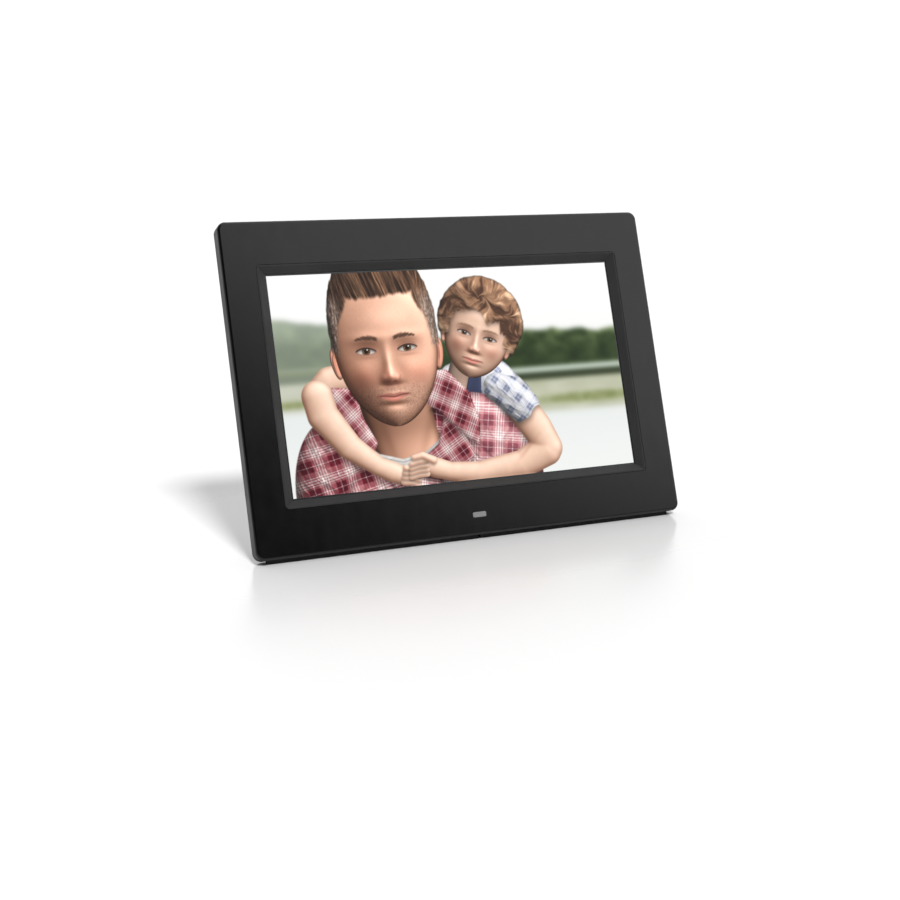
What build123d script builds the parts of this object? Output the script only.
from build123d import *
import math
import os

# A digital photo frame standing on its desk leg.
# Every piece is drawn on an upright panel: +X to the viewer's right, +Y from the
# front face into the depth, +Z up from the bottom edge. The last step leans the
# panel back and stands it on the floor, with the origin under the middle of its box.

# Panel and rim
LEAN = 20.0            # degrees the panel leans back
PANEL_W = 188.4
PANEL_H = 133.6
PANEL_R = 3.5          # corner radius of the outline
MID_Z = PANEL_H / 2
RIM_DEPTH = 6.8
RIM_WALL = 2.0
FACE = 1.8             # thickness of the front plate
EDGE_ROUND = 1.1       # rounding of the front edge
SLACK = 0.1            # gap round a piece set into another

# Screen and the trim round it
SCREEN_W = 153.6       # seven-inch panel of 1024 by 600 square dots
SCREEN_H = 90.0
SCREEN_Z = 67.2
TRIM_W = 161.2
TRIM_H = 97.2
TRIM_R = 2.0
TRIM_LIP = 0.7         # flat front edge of the trim
TRIM_FLANGE = 0.6
GLASS_Y = 2.7          # depth of the glass
GLASS_T = 1.3
CELL_W = 161.6
CELL_H = 98.0
GUIDE_W = 158.6
GUIDE_H = 95.0
FILM_T = 0.4
GUIDE_T = 1.5
TRAY_W = 164.8
TRAY_H = 101.2
TRAY_T = 0.3
TRAY_Y = GLASS_Y + GLASS_T + FILM_T + GUIDE_T + TRAY_T
EAR_X = 86.6           # screws of the display, left and right
EAR_ROWS = (30.0, 104.0)
EAR_Y = 3.4
EAR_T = 0.4
RIBBON_X0 = 34.5
RIBBON_W = 20.0
RIBBON_TOP_Z = 60.0    # where the ribbon meets its connector
FLEX_T = 0.25          # thickness of the flexible leads

# Remote-control window and receiver
WINDOW_W = 6.0
WINDOW_H = 2.2
WINDOW_Z = 8.1

# Rear cover
FLANGE_Y0 = 5.0
FLANGE_Y1 = 6.7
BACK_Y = 19.0
COVER_WALL = 2.0
INNER_Y = BACK_Y - COVER_WALL
BUMP_W = 171.4
BUMP_H = 112.2
BUMP_R = 8.0
DRAFT = 6.0            # degrees
HOUSING_X = 88.8
HOUSING_ROWS = (9.2, MID_Z, PANEL_H - 9.2)

# Stand leg, turning on a pin along X
PIN_Y = 15.8
PIN_Z = 78.0
PIN_R = 1.25
PIN_FIT = 0.05         # radial running clearance
STAND_OPEN = 36.0      # degrees between the leg and the back
LEG_TOP_W = 34.0
LEG_TIP_W = 46.0
LEG_T = 3.8
KNUCKLE_R = 2.8
KNUCKLE_HALF = 16.6
HEEL_Z = 5.5
GAP = 0.6              # room round the folded leg
POCKET_WALL = 3.0
POCKET_FLOOR = 3.1     # depth of the recess floor in front of the pin
POCKET_SKIN = 1.6
WASHER_T = 0.6
PAD_H = 4.0

# Rubber strips under the rim, one to each half
FOOT_X = 45.0
FOOT_W = 89.0
FOOT_Y0 = 3.4
FOOT_Y1 = 6.3
FOOT_INSET = 0.4
FOOT_STANDOFF = 0.2    # height of the rim's back corner over the floor

# Buttons and their board
KEYS = ("power", "menu", "up", "down", "left", "right", "exit")
KEY_PITCH = 11.5
KEY_Z = 110.5
KEY_W = 8.0
KEY_H = 4.8
KEY_GAP = 0.3
KEY_PROUD = 1.0
KEY_TRAVEL = 0.4
KEY_BOARD_Y = 13.0
KEY_BOARD_T = 1.2
SWITCH_H = 1.2
SWITCH_FLOOR = 0.3     # thickness under the well that the stem goes into
STEM_SPARE = 0.3       # room left under the stem when the button is pressed home
KEY_SCREW_X = 43.0

# Main board with the sockets along its outer edge
BOARD_Y = 9.0
BOARD_T = 1.6
BOARD_X0 = 29.0
BOARD_X1 = 79.5
BOARD_Z0 = 42.0
BOARD_Z1 = 104.0
BOARD_BACK = BOARD_Y + BOARD_T
BOARD_SCREWS = ((32.5, 45.6), (67.2, 45.6), (32.5, 100.6), (67.2, 100.6))
SOCKET_X = 84.6        # mouths of the sockets
USB_Z = 84.8
CARD_Z = 63.8
DC_Z = 98.0
EAR_JACK_Z = 46.3
PLUG_R = 1.8           # 3.5 mm earphone plug with its clearance
PLUG_DEPTH = 12.0

# Speakers
SPEAKER_X = 55.0
SPEAKER_Z = 28.0
SPEAKER_R = 12.5
SPEAKER_EAR = 15.6     # screw hole's distance from the middle
SPEAKER_BAR_Y = 13.8
SPEAKER_BAR_T = 0.8

# Wall hanging
KEYHOLE_X = 58.0
KEYHOLE_Z = 100.0
KEYHOLE_R = 4.0
KEYHOLE_NECK = 4.2
KEYHOLE_RISE = 7.5
KEYHOLE_DEPTH = 5.0
KEYHOLE_LIP = 2.0      # thickness that the screw head hooks behind
KEYHOLE_SKIN = 1.4

# Derived standing geometry
SIN_LEAN = math.sin(math.radians(LEAN))
COS_LEAN = math.cos(math.radians(LEAN))
FLOOR_DROP = RIM_DEPTH * SIN_LEAN + FOOT_STANDOFF
PIN_HEIGHT = PIN_Z * COS_LEAN - PIN_Y * SIN_LEAN + FLOOR_DROP
LEG_TILT = math.radians(STAND_OPEN - LEAN)
LEG_LENGTH = PIN_HEIGHT / math.cos(LEG_TILT)


# ---------------------------------------------------------------- helpers

def block(x0, x1, y0, y1, z0, z1):
    centre = Pos((x0 + x1) / 2, (y0 + y1) / 2, (z0 + z1) / 2)
    return centre * Box(x1 - x0, y1 - y0, z1 - z0)


def prism(outline, y0, y1, x=0.0, z=0.0, taper=0.0):
    """An outline seen from the front, pushed back from y0 to y1."""
    plane = Plane(origin=(x, y0, z), x_dir=(-1, 0, 0), z_dir=(0, 1, 0))
    return extrude(plane * outline, amount=y1 - y0, dir=(0, 1, 0), taper=taper)


def rounded(width, height, radius):
    return RectangleRounded(width, height, radius)


def ring(outer, inner, y0, y1, z):
    return prism(outer, y0, y1, z=z) - prism(inner, y0 - 1, y1 + 1, z=z)


def rod(radius, y0, y1, x, z):
    """A round bar along Y."""
    return Pos(x, (y0 + y1) / 2, z) * Rot(90, 0, 0) * Cylinder(radius, y1 - y0)


def rod_x(radius, x0, x1, y, z):
    """A round bar along X."""
    return Pos((x0 + x1) / 2, y, z) * Rot(0, 90, 0) * Cylinder(radius, x1 - x0)


def across(outline_points, x0, x1):
    """A side-view outline of (y, z) points, pushed along X."""
    face = Plane.YZ * Polygon(*outline_points, align=None)
    return Pos(x0, 0, 0) * extrude(face, amount=x1 - x0, dir=(1, 0, 0))


def group(solids):
    return Compound(children=list(solids))


def on_rear_edge(solid, y):
    """The edges of a solid that lie flat at depth y."""
    return solid.edges().filter_by_position(Axis.Y, y - 0.01, y + 0.01)


def screw(x, head_y, z, tip_y, head_r, head_t, shank_r):
    """A pan-head screw along Y with its cross recess, driven from head_y to tip_y."""
    step = 1 if head_y > tip_y else -1
    outer = head_y + step * head_t
    head = rod(head_r, min(head_y, outer), max(head_y, outer), x, z)
    head = fillet(on_rear_edge(head, outer), head_t * 0.4)
    shank = rod(shank_r, min(head_y, tip_y), max(head_y, tip_y), x, z)
    low = min(outer, outer - step * head_t * 0.6)
    high = max(outer, outer - step * head_t * 0.6)
    arm = head_r * 0.62
    slot = head_r * 0.13
    cross = block(x - arm, x + arm, low, high, z - slot, z + slot)
    cross += block(x - slot, x + slot, low, high, z - arm, z + arm)
    return head + shank - cross


def wire(points, bend, radius):
    """A round lead along straight runs joined by tangent arcs."""
    path = FilletPolyline(*points, radius=bend)
    start = Plane(origin=path @ 0, z_dir=path % 0)
    return sweep(start * Circle(radius), path=path)


def floor_z(y):
    """Height of the floor under the upright panel's coordinates, at depth y."""
    return (y * SIN_LEAN - FLOOR_DROP) / COS_LEAN


# ---------------------------------------------------------------- front

def front_bezel():
    shell = prism(rounded(PANEL_W, PANEL_H, PANEL_R), 0, RIM_DEPTH, z=MID_Z)
    shell = fillet(on_rear_edge(shell, 0), EDGE_ROUND)
    cavity = rounded(PANEL_W - 2 * RIM_WALL, PANEL_H - 2 * RIM_WALL, PANEL_R - 1.5)
    shell -= prism(cavity, FACE, RIM_DEPTH + 1, z=MID_Z)
    opening = rounded(TRIM_W + 2 * SLACK, TRIM_H + 2 * SLACK, TRIM_R + SLACK)
    shell -= prism(opening, -1, FACE + 1, z=SCREEN_Z)
    for side in (-1, 1):
        for z in HOUSING_ROWS:
            shell += rod(2.6, FACE - 0.5, FLANGE_Y0, side * HOUSING_X, z)
            shell -= rod(1.0, FACE, FLANGE_Y0 + 1, side * HOUSING_X, z)
        for z in EAR_ROWS:
            shell += rod(2.2, FACE - 0.5, EAR_Y, side * EAR_X, z)
            shell -= rod(0.95, 1.0, EAR_Y + 1, side * EAR_X, z)
        shell += block(side * 7.2 - 1.0, side * 7.2 + 1.0, FACE - 0.5, 4.0, WINDOW_Z - 3, WINDOW_Z + 3)
        foot_x = side * FOOT_X
        shell -= block(foot_x - FOOT_W / 2 - SLACK, foot_x + FOOT_W / 2 + SLACK,
                       FOOT_Y0 - SLACK, FOOT_Y1 + SLACK, -1, FOOT_INSET)
    shell -= prism(rounded(WINDOW_W + 2 * SLACK, WINDOW_H + 2 * SLACK, 0.8), -1, FACE + 1, z=WINDOW_Z)
    return shell


def display_trim():
    frame = prism(rounded(TRIM_W, TRIM_H, TRIM_R), 0, FACE + TRIM_FLANGE, z=SCREEN_Z)
    frame = fillet(on_rear_edge(frame, 0), 0.25)
    frame += prism(rounded(TRIM_W + 3.6, TRIM_H + 3.6, 3), FACE, FACE + TRIM_FLANGE, z=SCREEN_Z)
    mouth = Plane(origin=(0, 0, SCREEN_Z), x_dir=(-1, 0, 0), z_dir=(0, 1, 0))
    throat = mouth.offset(FACE + TRIM_FLANGE)
    slope = loft([
        mouth * Rectangle(TRIM_W - 2 * TRIM_LIP, TRIM_H - 2 * TRIM_LIP),
        throat * Rectangle(SCREEN_W + 0.4, SCREEN_H + 0.4),
    ])
    return frame - slope


def ir_window():
    lens = prism(rounded(WINDOW_W, WINDOW_H, 0.7), 0.0, FACE + 0.6, z=WINDOW_Z)
    lens = fillet(on_rear_edge(lens, 0.0), 0.2)
    return lens + prism(rounded(WINDOW_W + 2.4, WINDOW_H + 2.4, 1.2), FACE, FACE + 0.6, z=WINDOW_Z)


def rubber_feet():
    pads = []
    for side in (-1, 1):
        x = side * FOOT_X
        outline = [
            (FOOT_Y0, FOOT_INSET),
            (FOOT_Y1, FOOT_INSET),
            (FOOT_Y1, floor_z(FOOT_Y1)),
            (FOOT_Y0, floor_z(FOOT_Y0)),
        ]
        pads.append(across(outline, x - FOOT_W / 2, x + FOOT_W / 2))
    return group(pads)


# ---------------------------------------------------------------- display

def lcd_gasket():
    outer = Rectangle(CELL_W, CELL_H)
    inner = Rectangle(SCREEN_W + 1.6, SCREEN_H + 1.6)
    return ring(outer, inner, FACE + TRIM_FLANGE, GLASS_Y, SCREEN_Z)


def lcd_glass():
    return prism(Rectangle(CELL_W, CELL_H), GLASS_Y, GLASS_Y + GLASS_T, z=SCREEN_Z)


def diffuser_film():
    y = GLASS_Y + GLASS_T
    return prism(Rectangle(GUIDE_W, GUIDE_H), y, y + FILM_T, z=SCREEN_Z)


def light_guide():
    y = GLASS_Y + GLASS_T + FILM_T
    return prism(Rectangle(GUIDE_W, GUIDE_H), y, y + GUIDE_T, z=SCREEN_Z)


def backlight_frame():
    y0 = GLASS_Y + GLASS_T
    y1 = TRAY_Y - TRAY_T
    frame = ring(Rectangle(164.0, 100.4), Rectangle(GUIDE_W + 0.2, GUIDE_H + 0.2), y0, y1, SCREEN_Z)
    bottom = SCREEN_Z - GUIDE_H / 2
    return frame - block(-76, 76, y0 + FILM_T, y1 + 1, bottom - 1.7, bottom)


def led_strip():
    """A flexible strip with its row of light-emitting diodes facing the guide."""
    y0 = GLASS_Y + GLASS_T + FILM_T + 0.1
    bottom = SCREEN_Z - GUIDE_H / 2
    strip = block(-75, 75, y0, y0 + 1.3, bottom - 1.6, bottom - 1.3)
    for i in range(24):
        x = -69 + 6 * i
        strip += block(x - 1.4, x + 1.4, y0 + 0.1, y0 + 1.2, bottom - 1.3, bottom - 0.2)
    return strip


def lcd_tray():
    """Bent steel tray that holds the display, with four screw ears."""
    tray = prism(Rectangle(TRAY_W, TRAY_H), 3.0, TRAY_Y, z=SCREEN_Z)
    tray -= prism(Rectangle(TRAY_W - 2 * TRAY_T, TRAY_H - 2 * TRAY_T), 2, TRAY_Y - TRAY_T, z=SCREEN_Z)
    for side in (-1, 1):
        for z in EAR_ROWS:
            near = side * (TRAY_W / 2 - TRAY_T)
            far = side * 90.2
            ear = block(min(near, far), max(near, far), EAR_Y, EAR_Y + EAR_T, z - 4, z + 4)
            ear -= block(-TRAY_W / 2 + TRAY_T, TRAY_W / 2 - TRAY_T, 2, TRAY_Y, z - 5, z + 5)
            tray += ear - rod(1.1, 2, 5, side * EAR_X, z)
    for x in (-50, 50):
        rib = prism(rounded(30, 60, 6), TRAY_Y - TRAY_T, TRAY_Y + 0.3, x=x, z=SCREEN_Z)
        rib -= prism(rounded(28, 58, 5), TRAY_Y - TRAY_T - 1, TRAY_Y, x=x, z=SCREEN_Z)
        tray += rib
    return tray - block(33, 55, TRAY_Y - TRAY_T - 0.1, TRAY_Y + 1, 21, 23)


def lcd_screws():
    return group(
        screw(side * EAR_X, EAR_Y + EAR_T, z, 1.3, 1.7, 0.9, 0.9)
        for side in (-1, 1) for z in EAR_ROWS
    )


def lcd_ribbon():
    """Flat flexible cable from the tray's slot to the main board's connector."""
    skin = TRAY_Y + 0.2
    path = Polyline((skin - 0.35, 21.4), (skin, 22.4), (skin, 31.0), (skin + 0.75, 33.5),
                    (skin + 0.75, 50.0), (8.3, 56.0), (8.3, RIBBON_TOP_Z))
    strip = Plane.YZ * trace(path, line_width=FLEX_T)
    return Pos(RIBBON_X0, 0, 0) * extrude(strip, amount=RIBBON_W, dir=(1, 0, 0))


# ---------------------------------------------------------------- rear cover

def bump(y0, y1, inset):
    """The raised back of the cover, or with an inset the space inside it."""
    outline = rounded(BUMP_W - 2 * inset, BUMP_H - 2 * inset, BUMP_R - inset)
    return prism(outline, y0, y1, z=MID_Z, taper=DRAFT)


def leg_outline(gap, top, bottom):
    """The leg's taper, grown by a gap, between two heights from the pin."""
    def half(z):
        share = -z / LEG_LENGTH
        return gap + (LEG_TOP_W + (LEG_TIP_W - LEG_TOP_W) * max(share, 0)) / 2
    corners = [(-half(top), top), (-half(0), 0), (-half(bottom), bottom),
               (half(bottom), bottom), (half(0), 0), (half(top), top)]
    return Polygon(*corners, align=None)


def stand_pocket(grow, floor):
    """The recess for the leg, as a solid; grow adds its walls."""
    outline = leg_outline(GAP + grow, HEEL_Z + 1.5 + grow, -PIN_Z)
    return prism(outline, floor, BACK_Y + 2, z=PIN_Z)


def speaker_ears(side):
    """Where the two screws of one speaker are, across the frame."""
    return [side * SPEAKER_X + SPEAKER_EAR * lean for lean in (-1, 1)]


def grille(x):
    """Rows of round sound holes inside a circle."""
    holes = []
    pitch = 3.0
    for row in range(-3, 4):
        for column in range(-4, 5):
            dx = pitch * (column + 0.5 * (row % 2))
            dz = pitch * 0.866 * row
            if math.hypot(dx, dz) < 10.2:
                holes.append(rod(0.85, INNER_Y - 0.5, BACK_Y + 1, x + dx, SPEAKER_Z + dz))
    return holes


def vents(side):
    """Two rows of upright cooling slots."""
    slots = []
    for i in range(9):
        x = side * (38.0 + 4.0 * i)
        slots.append(prism(rounded(1.6, 14, 0.79), INNER_Y - 0.5, BACK_Y + 1, x=x, z=78.0))
        slots.append(prism(rounded(1.6, 10, 0.79), INNER_Y - 0.5, BACK_Y + 1, x=x, z=56.0))
    return slots


def keyhole_cut(x):
    """Entry hole, neck and the room behind them for a screw head."""
    cut = rod(KEYHOLE_R, BACK_Y - KEYHOLE_DEPTH, BACK_Y + 1, x, KEYHOLE_Z)
    cut += prism(SlotOverall(KEYHOLE_RISE * 2, KEYHOLE_NECK, rotation=90),
                 BACK_Y - KEYHOLE_DEPTH, BACK_Y + 1, x=x, z=KEYHOLE_Z)
    head = SlotOverall(2 * KEYHOLE_R + KEYHOLE_RISE - KEYHOLE_NECK / 2, 2 * KEYHOLE_R, rotation=90)
    shift = (KEYHOLE_RISE - KEYHOLE_NECK / 2) / 2
    cut += prism(head, BACK_Y - KEYHOLE_DEPTH, BACK_Y - KEYHOLE_LIP, x=x, z=KEYHOLE_Z + shift)
    lower = block(x - 9, x + 9, BACK_Y - KEYHOLE_DEPTH - 1, BACK_Y + 2, KEYHOLE_Z - 9, KEYHOLE_Z)
    lower -= rod(KEYHOLE_R, BACK_Y - KEYHOLE_DEPTH - 2, BACK_Y + 3, x, KEYHOLE_Z)
    return cut - lower


def cover_bosses():
    """What stands inside the cover: recess walls, keyhole rooms and screw bosses."""
    deep = INNER_Y + 0.5
    bosses = [stand_pocket(POCKET_WALL, PIN_Y - POCKET_FLOOR - POCKET_SKIN)]
    for side in (-1, 1):
        bosses.append(prism(rounded(14, 20, 6), BACK_Y - KEYHOLE_DEPTH - KEYHOLE_SKIN, deep,
                            x=side * KEYHOLE_X, z=KEYHOLE_Z + 2.5))
        bosses.append(rod(2.6, KEY_BOARD_Y + KEY_BOARD_T, deep, side * KEY_SCREW_X, KEY_Z))
        for x in speaker_ears(side):
            bosses.append(rod(2.2, SPEAKER_BAR_Y + SPEAKER_BAR_T, deep, x, SPEAKER_Z))
    for x, z in BOARD_SCREWS:
        bosses.append(rod(2.4, BOARD_BACK, deep, x, z))
    return sum(bosses[1:], bosses[0])


def cover_openings():
    """Recess, button holes, grilles, vents, keyholes, screw holes and socket mouths."""
    cuts = [stand_pocket(0.0, PIN_Y - POCKET_FLOOR)]
    pin_reach = KNUCKLE_HALF + 1 + POCKET_WALL
    cuts.append(rod_x(PIN_R + PIN_FIT, -pin_reach, pin_reach, PIN_Y, PIN_Z))
    hole = rounded(KEY_W + 2 * KEY_GAP, KEY_H + 2 * KEY_GAP, 1.5)
    for i in range(len(KEYS)):
        cuts.append(prism(hole, INNER_Y - 0.5, BACK_Y + 1, x=key_x(i), z=KEY_Z))
    for side in (-1, 1):
        cuts += grille(side * SPEAKER_X)
        cuts += vents(side)
        cuts.append(keyhole_cut(side * KEYHOLE_X))
        cuts.append(rod(0.85, KEY_BOARD_Y, INNER_Y - 0.4, side * KEY_SCREW_X, KEY_Z))
        for x in speaker_ears(side):
            cuts.append(rod(0.85, SPEAKER_BAR_Y, INNER_Y - 0.2, x, SPEAKER_Z))
        for z in HOUSING_ROWS:
            cuts.append(rod(1.3, FLANGE_Y0 - 1, FLANGE_Y1 + 0.2, side * HOUSING_X, z))
            cuts.append(rod(2.1, FLANGE_Y0 + 0.6, FLANGE_Y1 + 0.2, side * HOUSING_X, z))
    for x, z in BOARD_SCREWS:
        cuts.append(rod(0.95, BOARD_BACK - 1, INNER_Y - 1, x, z))
    return cuts + socket_cuts()


def rear_cover():
    """A flat flange and the raised back as one shell, open towards the display."""
    flange_gap = RIM_WALL + 0.2
    flange = rounded(PANEL_W - 2 * flange_gap, PANEL_H - 2 * flange_gap, PANEL_R - 1.7)
    shell = prism(flange, FLANGE_Y0, FLANGE_Y1, z=MID_Z)
    raised = bump(FLANGE_Y1 - 0.5, BACK_Y, 0.0)
    raised = fillet(on_rear_edge(raised, BACK_Y), 2.0)
    shell = shell + raised - bump(FLANGE_Y0 - 0.5, INNER_Y, COVER_WALL)
    return shell + (cover_bosses() & raised) - cover_openings()


def socket_cuts():
    """Openings in the cover's side wall for the four sockets."""
    out = SOCKET_X + 3
    inn = SOCKET_X - 4
    usb = block(inn, out, BOARD_BACK - 0.2, BOARD_BACK + 6.4, USB_Z - 7.2, USB_Z + 7.2)
    card = block(inn, out, BOARD_BACK - 0.1, BOARD_BACK + 3.3, CARD_Z - 13.2, CARD_Z + 13.2)
    dc = rod_x(3.7, inn, out, BOARD_BACK + 3.3, DC_Z)
    phones = rod_x(3.2, inn, out, BOARD_BACK + 2.8, EAR_JACK_Z)
    return [usb, card, dc, phones]


def housing_screws():
    return group(
        screw(side * HOUSING_X, FLANGE_Y0 + 0.6, z, FACE + 0.3, 1.9, 1.0, 0.95)
        for side in (-1, 1) for z in HOUSING_ROWS
    )


# ---------------------------------------------------------------- stand

def at_pin(shape, turn=0.0):
    return Pos(0, PIN_Y, PIN_Z) * Rot(turn, 0, 0) * shape


def leg_floor(y):
    """Height of the floor under the open leg's own coordinates, from the pin."""
    return -(PIN_HEIGHT + y * math.sin(LEG_TILT)) / math.cos(LEG_TILT)


def kickstand():
    """The leg: knuckle and heel at the pin, a tapering plate, a tongue for the pad."""
    face_y = BACK_Y - GAP - PIN_Y
    inner_y = face_y - LEG_T
    end = -LEG_LENGTH + PAD_H
    plate = prism(leg_outline(0.0, 0.0, end), inner_y, face_y)
    plate = fillet(on_rear_edge(plate, face_y).filter_by(Axis.Z, reverse=True), 0.8)
    plate -= prism(Rectangle(21, 36), face_y - 0.7, face_y + 1, z=-34)
    for i in range(5):
        z = end + 5 + 2.4 * i
        plate -= prism(rounded(20, 0.9, 0.44), face_y - 0.4, face_y + 1, z=z)
    leg = plate + rod_x(KNUCKLE_R, -KNUCKLE_HALF, KNUCKLE_HALF, 0, 0)
    heel = block(-KNUCKLE_HALF, KNUCKLE_HALF, 0.6, face_y, 0, HEEL_Z)
    leg += heel
    leg += block(-LEG_TIP_W / 2 + 5, LEG_TIP_W / 2 - 5, inner_y + 1.2, face_y - 1.2, end - 2.2, end + 0.5)
    leg -= rod_x(PIN_R + PIN_FIT, -KNUCKLE_HALF - 2, KNUCKLE_HALF + 2, 0, 0)
    sides = [block(s * 17.4 - 0.8, s * 17.4 + 0.8, -6, 6, -3.4, 8) for s in (-1, 1)]
    return at_pin(leg - sides, STAND_OPEN)


def stand_foot_pad():
    """Rubber shoe on the leg's tip, cut level with the floor when the leg is open."""
    face_y = BACK_Y - GAP - PIN_Y
    inner_y = face_y - LEG_T
    top = -LEG_LENGTH + PAD_H
    half = LEG_TIP_W / 2 - 1.2
    shoe = across([(inner_y, top), (face_y, top), (face_y, leg_floor(face_y)),
                   (inner_y, leg_floor(inner_y))], -half, half)
    reach = LEG_TIP_W / 2 - 4.9
    tongue = block(-reach, reach, inner_y + 1.15, face_y - 1.15, top - 2.3, top + 1)
    return at_pin(shoe - tongue, STAND_OPEN)


def hinge_pin():
    half = KNUCKLE_HALF + 1 + POCKET_WALL - 0.4
    return chamfer(rod_x(PIN_R, -half, half, PIN_Y, PIN_Z).edges(), 0.3)


def stand_washers():
    rings = []
    for side in (-1, 1):
        outer = side * (LEG_TOP_W / 2 + GAP)
        inner = outer - side * WASHER_T
        ends = (min(outer, inner), max(outer, inner))
        washer = rod_x(2.7, *ends, PIN_Y, PIN_Z)
        rings.append(washer - rod_x(PIN_R + PIN_FIT, ends[0] - 1, ends[1] + 1, PIN_Y, PIN_Z))
    return group(rings)


# ---------------------------------------------------------------- buttons

def key_x(index):
    """Power is at the viewer's right from the front, so at the left from behind."""
    return KEY_PITCH * ((len(KEYS) - 1) / 2 - index)


def key_mark(name):
    """Plain symbol sunk into a button, drawn as seen from behind."""
    if name == "power":
        gap = Pos(0, 1.1) * Rectangle(0.8, 1.4)
        return Circle(1.25) - Circle(0.85) - gap + Pos(0, 0.9) * Rectangle(0.36, 1.3)
    if name == "menu":
        bars = [Pos(0, dz) * Rectangle(2.6, 0.4) for dz in (-0.9, 0, 0.9)]
        return bars[0] + bars[1] + bars[2]
    if name == "exit":
        return Rot(0, 0, 45) * Rectangle(2.8, 0.45) + Rot(0, 0, -45) * Rectangle(2.8, 0.45)
    turn = {"up": 0, "down": 180, "left": 90, "right": -90}[name]
    return Rot(0, 0, turn) * Triangle(a=2.6, b=2.2, c=2.2, align=(Align.CENTER, Align.CENTER))


def button(index):
    """A cap through the cover, a flange behind it and a stem into the switch."""
    x = key_x(index)
    top = BACK_Y + KEY_PROUD
    flange_y = INNER_Y - 0.3
    cap = prism(rounded(KEY_W, KEY_H, 1.2), flange_y - 0.3, top, x=x, z=KEY_Z)
    cap = fillet(on_rear_edge(cap, top), 0.45)
    cap += prism(rounded(KEY_W + 2, KEY_H + 2, 1.6), flange_y - 0.6, flange_y, x=x, z=KEY_Z)
    stem_end = KEY_BOARD_Y + KEY_BOARD_T + SWITCH_FLOOR + STEM_SPARE + KEY_TRAVEL
    cap += rod(0.95, stem_end, flange_y - 0.3, x, KEY_Z)
    return cap - prism(key_mark(KEYS[index]), top - 0.25, top + 1, x=x, z=KEY_Z)


def switch_top():
    return KEY_BOARD_Y + KEY_BOARD_T + SWITCH_H


def tact_switches():
    solids = []
    for i in range(len(KEYS)):
        x = key_x(i)
        base = KEY_BOARD_Y + KEY_BOARD_T
        body = prism(rounded(5.2, 5.2, 0.5), base, switch_top(), x=x, z=KEY_Z)
        solids.append(body - rod(1.3, base + SWITCH_FLOOR, switch_top() + 1, x, KEY_Z))
    return group(solids)


def key_board():
    half = KEY_SCREW_X + 3.5
    board = block(-half, half, KEY_BOARD_Y, KEY_BOARD_Y + KEY_BOARD_T, KEY_Z - 5, KEY_Z + 5)
    for side in (-1, 1):
        board -= rod(1.1, KEY_BOARD_Y - 1, KEY_BOARD_Y + 2, side * KEY_SCREW_X, KEY_Z)
    return board


def key_screws():
    return group(
        screw(side * KEY_SCREW_X, KEY_BOARD_Y, KEY_Z, INNER_Y - 1.2, 1.7, 0.9, 0.8)
        for side in (-1, 1)
    )


def key_ribbon():
    """Flat lead from the key board down to the main board."""
    path = Polyline((12.7, 108.0), (12.7, 105.2), (11.3, 102.6), (10.85, 102.0), (10.85, 98.5))
    strip = Plane.YZ * trace(path, line_width=FLEX_T)
    return Pos(46.2, 0, 0) * extrude(strip, amount=4.4, dir=(1, 0, 0))


# ---------------------------------------------------------------- electronics

def main_board():
    board = block(BOARD_X0, BOARD_X1, BOARD_Y, BOARD_BACK, BOARD_Z0, BOARD_Z1)
    for x, z in BOARD_SCREWS:
        board -= rod(1.2, BOARD_Y - 1, BOARD_BACK + 1, x, z)
    return board


def board_screws():
    return group(screw(x, BOARD_Y, z, INNER_Y - 2, 1.9, 1.0, 0.9) for x, z in BOARD_SCREWS)


def on_board(width, height, thick, x, z, radius=0.3):
    return prism(rounded(width, height, radius), BOARD_BACK, BOARD_BACK + thick, x=x, z=z)


def processor():
    return chamfer(on_rear_edge(on_board(14, 14, 1.4, 44, 68), BOARD_BACK + 1.4), 0.3)


def memory_chips():
    return group([on_board(11, 8, 1.1, 43, 80.5), on_board(8, 6, 1.1, 36, 55), on_board(5, 4, 1.2, 50, 54)])


def capacitors():
    """Round capacitors and square coils of the power supply."""
    cans = [rod(2.0, BOARD_BACK, BOARD_BACK + 4.6, x, z) for x, z in ((56, 82), (61, 82), (61, 87.5))]
    cans = [fillet(on_rear_edge(can, BOARD_BACK + 4.6), 0.4) for can in cans]
    coils = [on_board(5, 5, 2.4, x, z, 0.8) for x, z in ((54, 47), (60, 47.5), (54.5, 89))]
    return group(cans + coils)


def clock_cell():
    return rod(6.0, BOARD_BACK + 0.6, BOARD_BACK + 2.4, 38.6, 93.2)


def cell_holder():
    """Open-topped cup with a clip over the cell."""
    cup = rod(7.2, BOARD_BACK, BOARD_BACK + 2.6, 38.6, 93.2)
    cup -= rod(6.1, BOARD_BACK + 0.6, BOARD_BACK + 4, 38.6, 93.2)
    return cup + block(31.6, 34.6, BOARD_BACK + 2.45, BOARD_BACK + 3.0, 91.2, 95.2)


def usb_shell():
    """Folded steel shell of the USB socket."""
    y0 = BOARD_BACK
    shell = block(70.5, SOCKET_X, y0, y0 + 6.0, USB_Z - 6.6, USB_Z + 6.6)
    return shell - block(70.9, SOCKET_X + 1, y0 + 0.35, y0 + 5.65, USB_Z - 6.2, USB_Z + 6.2)


def usb_tongue():
    y0 = BOARD_BACK
    base = block(70.9, 74.0, y0 + 0.35, y0 + 5.65, USB_Z - 6.1, USB_Z + 6.1)
    return base + block(73.0, SOCKET_X - 1.2, y0 + 3.6, y0 + 5.2, USB_Z - 5.4, USB_Z + 5.4)


def card_socket():
    """Flat steel cover over a moulded tray, open towards the cover's side."""
    y0 = BOARD_BACK
    shell = block(60.0, SOCKET_X - 0.8, y0, y0 + 3.2, CARD_Z - 13.0, CARD_Z + 13.0)
    return shell - block(61.0, SOCKET_X + 1, y0 + 0.4, y0 + 2.8, CARD_Z - 12.1, CARD_Z + 12.1)


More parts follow.
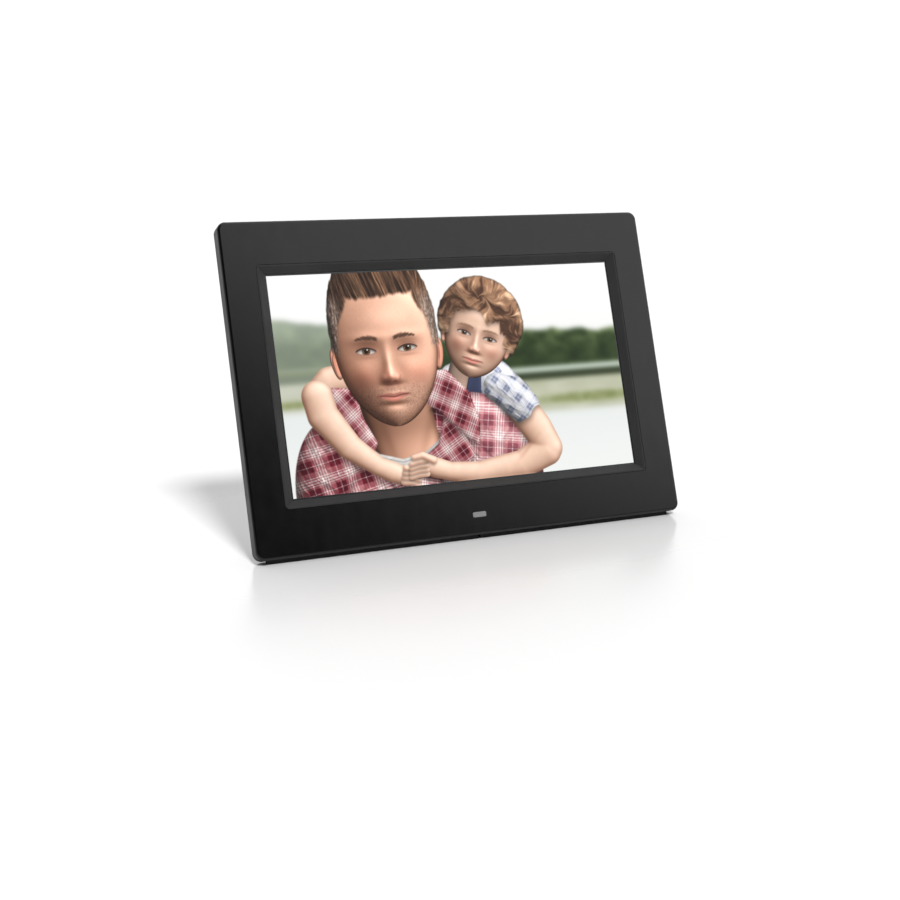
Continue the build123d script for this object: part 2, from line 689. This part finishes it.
def dc_jack():
    y = BOARD_BACK + 3.3
    body = block(71.5, SOCKET_X - 2.7, BOARD_BACK, BOARD_BACK + 6.2, DC_Z - 4.6, DC_Z + 4.6)
    body += rod_x(3.4, SOCKET_X - 3, SOCKET_X, y, DC_Z)
    body -= rod_x(2.3, 74.0, SOCKET_X + 1, y, DC_Z)
    return body


def dc_pin():
    return rod_x(0.65, 74.0, SOCKET_X - 0.8, BOARD_BACK + 3.3, DC_Z)


def earphone_jack():
    y = BOARD_BACK + 2.8
    body = block(SOCKET_X - 13.4, SOCKET_X - 2.7, BOARD_BACK, BOARD_BACK + 5.4,
                 EAR_JACK_Z - 3.2, EAR_JACK_Z + 3.2)
    body += rod_x(2.9, SOCKET_X - 3, SOCKET_X, y, EAR_JACK_Z)
    return body - rod_x(PLUG_R, SOCKET_X - PLUG_DEPTH, SOCKET_X + 1, y, EAR_JACK_Z)


def lead_connectors():
    """White headers on the front of the main board."""
    spots = ((34.5, 55.0, RIBBON_TOP_Z, 64.0), (30.0, 34.0, 49.4, 53.4), (44.0, 48.0, 43.0, 47.0),
             (30.0, 34.0, 66.0, 70.0), (37.0, 41.0, 43.0, 47.0))
    return group(block(x0, x1, 7.6, BOARD_Y, z0, z1) for x0, x1, z0, z1 in spots)


def ir_board():
    return block(-9, 9, 4.0, 4.8, WINDOW_Z - 3.6, WINDOW_Z + 3.6)


def ir_receiver():
    body = block(-2.6, 2.6, 2.7, 4.0, WINDOW_Z - 2.2, WINDOW_Z + 2.2)
    return fillet(body.edges().filter_by(Axis.Y), 0.5)


# ---------------------------------------------------------------- speakers

def speaker_baskets():
    """Stamped frames with two ears, one behind each grille."""
    solids = []
    for side in (-1, 1):
        x = side * SPEAKER_X
        basket = rod(SPEAKER_R, 10.4, 16.4, x, SPEAKER_Z) - rod(SPEAKER_R - 1.0, 11.4, 17, x, SPEAKER_Z)
        bar_back = SPEAKER_BAR_Y + SPEAKER_BAR_T
        bar = prism(rounded(2 * SPEAKER_EAR + 5, 6, 2.9), SPEAKER_BAR_Y, bar_back, x=x, z=SPEAKER_Z)
        bar -= rod(SPEAKER_R - 0.5, 13, 15, x, SPEAKER_Z)
        bar -= [rod(1.1, 13, 15, ear, SPEAKER_Z) for ear in speaker_ears(side)]
        solids.append(basket + bar)
    return group(solids)


def speaker_magnets():
    return group(rod(6.5, 7.4, 10.4, side * SPEAKER_X, SPEAKER_Z) for side in (-1, 1))


def speaker_cones():
    """Paper cones with a dust cap, facing the grilles."""
    outline = [(2.0, 11.6), (2.6, 12.6), (10.9, 15.8), (10.9, 15.4), (3.0, 11.6)]
    solids = []
    for side in (-1, 1):
        profile = Polygon(*outline, align=None)
        profile = Plane(origin=(0, 0, 0), x_dir=(1, 0, 0), z_dir=(0, 0, 1)) * profile
        cone = revolve(profile, axis=Axis.Y)
        cap = Pos(0, 12.3, 0) * Rot(90, 0, 0) * Cylinder(3.4, 0.5)
        solids.append(Pos(side * SPEAKER_X, 0, SPEAKER_Z) * (cone + cap))
    return group(solids)


def speaker_gaskets():
    solids = []
    for side in (-1, 1):
        x = side * SPEAKER_X
        solids.append(rod(SPEAKER_R, 16.4, INNER_Y, x, SPEAKER_Z) - rod(10.9, 16, 18, x, SPEAKER_Z))
    return group(solids)


def speaker_screws():
    return group(
        screw(x, SPEAKER_BAR_Y, SPEAKER_Z, INNER_Y - 0.6, 1.6, 0.9, 0.8)
        for side in (-1, 1) for x in speaker_ears(side)
    )


# ---------------------------------------------------------------- leads

def backlight_lead():
    return wire([(20, 6.9, 17.6), (20, 6.9, 40), (29.6, 8.1, 51.2)], 6, 0.5)


def speaker_leads():
    right = wire([(45.4, 9.8, 26), (44.4, 9.0, 34), (46, 8.3, 42.7)], 6, 0.5)
    left = wire([(-45.4, 9.8, 32), (-34, 9.2, 44), (12, 8.8, 44), (29.5, 8.3, 67)], 9, 0.5)
    return group([right, left])


def ir_lead():
    return wire([(4, 4.4, 11.8), (4, 4.4, 14.6), (4, 8.0, 14.7), (6, 8.0, 30), (38.6, 8.3, 42.6)],
                [1.2, 1.2, 10], 0.4)


# ---------------------------------------------------------------- assembly

def pieces():
    """Every sub-part on the upright panel, by name."""
    makers = [
        front_bezel, display_trim, ir_window, rubber_feet,
        lcd_gasket, lcd_glass, diffuser_film, light_guide, backlight_frame, led_strip,
        lcd_tray, lcd_screws, lcd_ribbon, rear_cover, housing_screws,
        kickstand, stand_foot_pad, hinge_pin, stand_washers,
        tact_switches, key_board, key_screws, key_ribbon,
        main_board, board_screws, processor, memory_chips, capacitors, clock_cell, cell_holder,
        usb_shell, usb_tongue, card_socket, dc_jack, dc_pin, earphone_jack, lead_connectors,
        ir_board, ir_receiver, speaker_baskets, speaker_magnets, speaker_cones,
        speaker_gaskets, speaker_screws, backlight_lead, speaker_leads, ir_lead,
    ]
    made = {maker.__name__: maker() for maker in makers}
    for index, name in enumerate(KEYS):
        made["button_" + name] = button(index)
    return made


def standing(made):
    """The lean, and the shift that puts the origin under the middle of the box."""
    lean = Rot(-LEAN, 0, 0)
    boxes = [(lean * shape).bounding_box() for shape in made.values()]
    low_y = min(box.min.Y for box in boxes)
    high_y = max(box.max.Y for box in boxes)
    return Pos(0, -(low_y + high_y) / 2, FLOOR_DROP) * lean


if __name__ == "__main__":
    parts = pieces()
    place = standing(parts)
    os.makedirs("parts", exist_ok=True)
    for name, shape in parts.items():
        export_step(place * shape, f"parts/{name}.step")
    corner = (place * Pos(0, 0, 0)).position
    pin = (place * Pos(0, PIN_Y, PIN_Z)).position
    print("front bottom edge", corner, "stand pin", pin, "pieces", len(parts))
